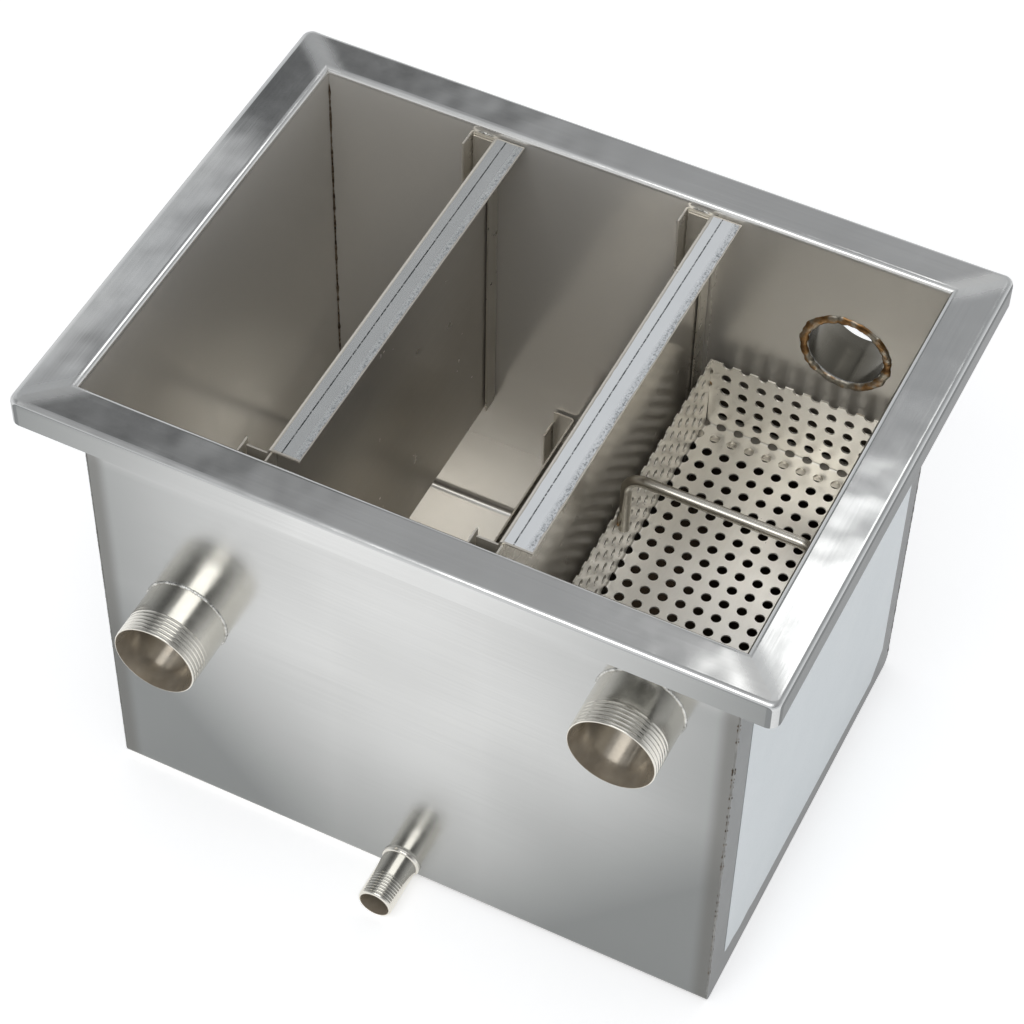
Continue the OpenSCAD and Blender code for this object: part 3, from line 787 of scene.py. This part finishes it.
# %% Tacks on the channels and welds of the handle
tack_y = 123.7 * mm
for seed, node in enumerate(channels):
    low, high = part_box(node)
    y = tack_y if low.y > 0 else -tack_y
    middle_x = (low.x + high.x) / 2
    path = [Vector((middle_x + (i - 5) * 0.9 * mm, y, high.z)) for i in range(11)]
    weld_bead(
        node + "_tack", path, [Vector((0, 0, 1))] * len(path), 0.4 * mm, 0.9 * mm,
        clean_weld, False, 0.3, seed + 40)

low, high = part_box("basket_handle")
for x_side, x in ((1, low.x), (-1, high.x)):
    for y_side in (-1, 1):
        foot_x, foot_y = x + x_side * 0.6 * mm, y_side * 1.9 * mm
        path = [Vector((foot_x, foot_y, low.z + (2 + i) * mm)) for i in range(11)]
        up = Vector((x_side, y_side, 0)).normalized()
        end = ("left" if x_side > 0 else "right") + ("_front" if y_side < 0 else "_back")
        weld_bead(
            "handle_weld_" + end, path, [up] * len(path), 1.0 * mm, 0.9 * mm,
            burnt_weld, False, 0.5, 60)

# %% [markdown]
# ## Tack spots
# The basket's corners are held by two small tack welds each, the tank's front seam has pits where
# the bead was ground away, and a small pool closes each inner corner of the rim. Squashed spheres
# would do for spots, but their feet would be perfect ovals. A spot here is a low dome with a ragged
# foot.

# %% Tacks on the basket's corners
def spots(name, places, material, seed):
    """Low domes in one mesh. Each place is (centre, way up, radius, height)."""
    chance = random.Random(seed)
    sides = 12
    rings = ((1.0, -0.3), (0.95, 0.25), (0.6, 0.8))  # shares of the radius and of the height
    points, faces = [], []
    for centre, up, radius, height in places:
        first = up.orthogonal().normalized()
        second = up.cross(first)
        start = len(points)
        for share, rise in rings:
            for step in range(sides):
                angle = 2 * math.pi * step / sides
                r = radius * share * (1 + 0.18 * chance.uniform(-1, 1))
                way = first * math.cos(angle) + second * math.sin(angle)
                points.append(centre + way * r + up * height * rise)
        points.append(centre + up * height)
        for a in (start, start + sides):
            for step in range(sides):
                b, after = a + sides, (step + 1) % sides
                faces.append((a + step, a + after, b + after, b + step))
        last_ring, top = start + 2 * sides, start + 3 * sides
        faces += [(last_ring + i, last_ring + (i + 1) % sides, top) for i in range(sides)]
        faces.append(tuple(start + step for step in range(sides)))
    return finish_piece(name, points, faces, material, "tank", 60)


tack_radius, tack_height = 1.9 * mm, 0.9 * mm
low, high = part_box("basket")
tacks = []
for x, x_side in ((low.x, -1), (high.x, 1)):
    for y, y_side in ((low.y, -1), (high.y, 1)):
        outward = Vector((x_side, y_side, 0)).normalized()
        for z in (high.z - 8 * mm, high.z - 18 * mm):
            edge = Vector((x, y, z))
            tacks.append((edge - outward * 0.9 * mm, outward, tack_radius, tack_height))
            tacks.append((edge - outward * 1.6 * mm, -outward, tack_radius, tack_height))
spots("basket_corner_tacks", tacks, burnt_weld, 3)

# %% Pits in the front seam, and pools in the rim's corners
chance = random.Random(11)
outward = Vector((1, -1, 0)).normalized()
pit_rows = ((232, 256, 8, 0.9), (120, 212, 52, 0.85), (28, 104, 40, 0.7))
pits = []
for z_from, z_to, count, size in pit_rows:  # heights and size in mm
    for i in range(count):
        centre = at_corner(1, -1, 0.25 * mm, chance.uniform(z_from, z_to) * mm)
        pits.append((centre, outward, size * chance.uniform(0.5, 1.3) * mm, 0.3 * mm))
spots("right_front_seam_pits", pits, pitted_weld, 5)

pools = []
for x_side in (-1, 1):
    for y_side in (-1, 1):
        up = Vector((-x_side, -y_side, 1.0)).normalized()
        pools.append((at_corner(x_side, y_side, sheet / 2, 301.6 * mm), up, 2.2 * mm, 0.9 * mm))
spots("rim_corner_pools", pools, clean_weld, 7)

# %% [markdown]
# ## Protective film
# Sheet is sold with a thin plastic film against scratches. Most of it was peeled off this tank, and
# the right end and the two flanges still carry it. It is pale blue-grey polyethylene, blown thin,
# so it is glossy, a little cloudy, and slightly wrinkled where it has come loose. Cloth could be
# draped for it, but it still sticks flat. So it is cut as an outline with ragged edges and given
# its thickness.

# %% Blown film
def blown_film(name, pale, dark, scuffs):
    """Cloudy polyethylene film over steel; scuffs is how much of it is marked."""
    material, tree, shader, place = begin(name)
    cloud_size, scratch_size, fold_size, fold_depth = 45 * mm, 2.5 * mm, 30 * mm, 1.5 * mm
    lumps = {"Vector": place, "Scale": 1 / cloud_size, "Detail": 4.0}
    cloud = add(tree, "ShaderNodeTexNoise", lumps)
    shades = {0: cloud, 6: linear(dark), 7: linear(pale)}
    colour = add(tree, "ShaderNodeMix", shades, data_type="RGBA")
    lumps = {"Vector": place, "Scale": 1 / scratch_size, "Detail": 5.0, "Roughness": 0.7}
    scratch = add(tree, "ShaderNodeTexNoise", lumps)
    worn = add(tree, "ShaderNodeMapRange", {0: scratch, 1: 0.52, 2: 0.66, 4: scuffs})
    shades = {0: worn, 6: colour, 7: linear("#7b8084")}
    colour = add(tree, "ShaderNodeMix", shades, data_type="RGBA")
    lumps = {"Vector": place, "Scale": 1 / fold_size, "Detail": 3.0}
    folds = add(tree, "ShaderNodeTexNoise", lumps)
    relief = {"Strength": 0.3, "Distance": fold_depth, "Height": folds}
    wrinkled = add(tree, "ShaderNodeBump", relief)
    fill(tree, shader, {"Base Color": colour, "Normal": wrinkled})
    shader.inputs["Roughness"].default_value = 0.3
    shader.inputs["IOR"].default_value = 1.51
    return material


end_film = blown_film("polyethylene_film_blown_pale", "#dfe5e7", "#d2dadd", scuffs=0.06)

# %% Torn film on the right end
def film_sheet(name, outline, thickness, material, body):
    """A flat film from an outline of points and the way its thickness goes."""
    count = len(outline)
    points = outline + [point + thickness for point in outline]
    faces = [tuple(range(count)), tuple(range(2 * count - 1, count - 1, -1))]
    for i in range(count):
        after = (i + 1) % count
        faces.append((i, after, count + after, count + i))
    return finish_piece(name, points, faces, material, body, 30)


low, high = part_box("side_film")
chance = random.Random(4)
torn = [(low.y + 0.4 * mm, high.z), (low.y, low.z + 9 * mm)]
for i in range(9):
    ragged = 8.5 - 0.7 * i + chance.uniform(-1.4, 1.4)
    torn.append((low.y + (1 + 5.0 * i) * mm, low.z + ragged * mm))
torn += [(97 * mm, low.z), (high.y, low.z + 14 * mm), (high.y, high.z)]
outline = [Vector((low.x, y, z)) for y, z in torn]
film = film_sheet("end_film", outline, Vector((high.x - low.x, 0, 0)), end_film, "tank")
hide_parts("side_film")

# %% [markdown]
# ## Film on the baffles' flanges
# The flange of each baffle keeps a strip of the same film, clear enough to show the steel below it.
# A broken line of dirt runs along it, and its free edge is rubbed and bubbled by hands. A second,
# see-through layer could lie on the steel, but one material that is part metal shows the same.
# Each strip gets its own, because the marks follow the flange's edge. The right strip is painted
# paler and less metallic than the left, a painted highlight for the brighter light on it.

# %% Film over steel
def veiled_steel(name, edge, pale, dark, metallic):
    """Clear film on bright sheet, rubbed along the flange's free edge at X = edge."""
    material, tree, shader, place = begin(name)
    bubble_size, bubble_depth, haze_size = 1.1 * mm, 0.3 * mm, 25 * mm
    dirt_from_edge, dirt_half_width = 10.2 * mm, 0.35 * mm
    across = add(tree, "ShaderNodeSeparateXYZ", {0: place}).outputs["X"]
    margin = {0: across, 1: edge - 4.4 * mm, 2: edge - 2.6 * mm}
    rubbed = add(tree, "ShaderNodeMapRange", margin)
    lumps = {"Vector": place, "Scale": 1 / bubble_size, "Detail": 3.0, "Roughness": 0.7}
    bubbles = add(tree, "ShaderNodeTexNoise", lumps)
    patches = add(tree, "ShaderNodeMapRange", {0: bubbles, 1: 0.42, 2: 0.62})
    marked = add(tree, "ShaderNodeMath", {0: rubbed, 1: patches}, operation="MULTIPLY")
    strip = {0: across, 1: edge - dirt_from_edge, 2: dirt_half_width}
    dirt = add(tree, "ShaderNodeMath", strip, operation="COMPARE")
    dashes = add(tree, "ShaderNodeMapRange", {0: bubbles, 1: 0.36, 2: 0.5})
    line = add(tree, "ShaderNodeMath", {0: dirt, 1: dashes}, operation="MULTIPLY")

    lumps = {"Vector": place, "Scale": 1 / haze_size, "Detail": 4.0}
    haze = add(tree, "ShaderNodeTexNoise", lumps)
    colour = linear(dark)
    for mask, tone in ((haze, pale), (marked, "#8b8f92"), (line, "#46484a")):
        shades = {0: mask, 6: colour, 7: linear(tone)}
        colour = add(tree, "ShaderNodeMix", shades, data_type="RGBA")
    gloss = add(tree, "ShaderNodeMapRange", {0: marked, 3: 0.26, 4: 0.5})
    relief = {"Strength": 0.4, "Distance": bubble_depth, "Height": marked}
    creased = add(tree, "ShaderNodeBump", relief)
    fill(tree, shader, {"Base Color": colour, "Roughness": gloss, "Normal": creased})
    shader.inputs["Metallic"].default_value = metallic
    return material


# painted highlight: the right strip is paler and less metallic than the left
looks = {
    "left_baffle": ("#dfe0df", "#cccecd", 0.75),
    "right_baffle": ("#f3f5f6", "#e6e9eb", 0.35),
}
strips = {}
for node, look in looks.items():
    low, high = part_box(node)
    strips[node] = low, high, veiled_steel("polyethylene_film_on_" + node, high.x, *look)

# %% Flange strips
strip_width, strip_gap, strip_thickness = 15 * mm, 0.8 * mm, 0.12 * mm
for seed, (node, (low, high, finish)) in enumerate(strips.items()):
    chance = random.Random(20 + seed)
    stations = [low.y + 1 * mm + (high.y - low.y - 2 * mm) * i / 60 for i in range(61)]
    outline = []
    for y in stations:
        x = high.x - strip_width + chance.uniform(-0.15, 0.15) * mm
        outline.append(Vector((x, y, high.z)))
    for y in reversed(stations):
        x = high.x - strip_gap + chance.uniform(-0.3, 0.3) * mm
        outline.append(Vector((x, y, high.z)))
    film_sheet(node + "_flange_film", outline, Vector((0, 0, strip_thickness)), finish, node)
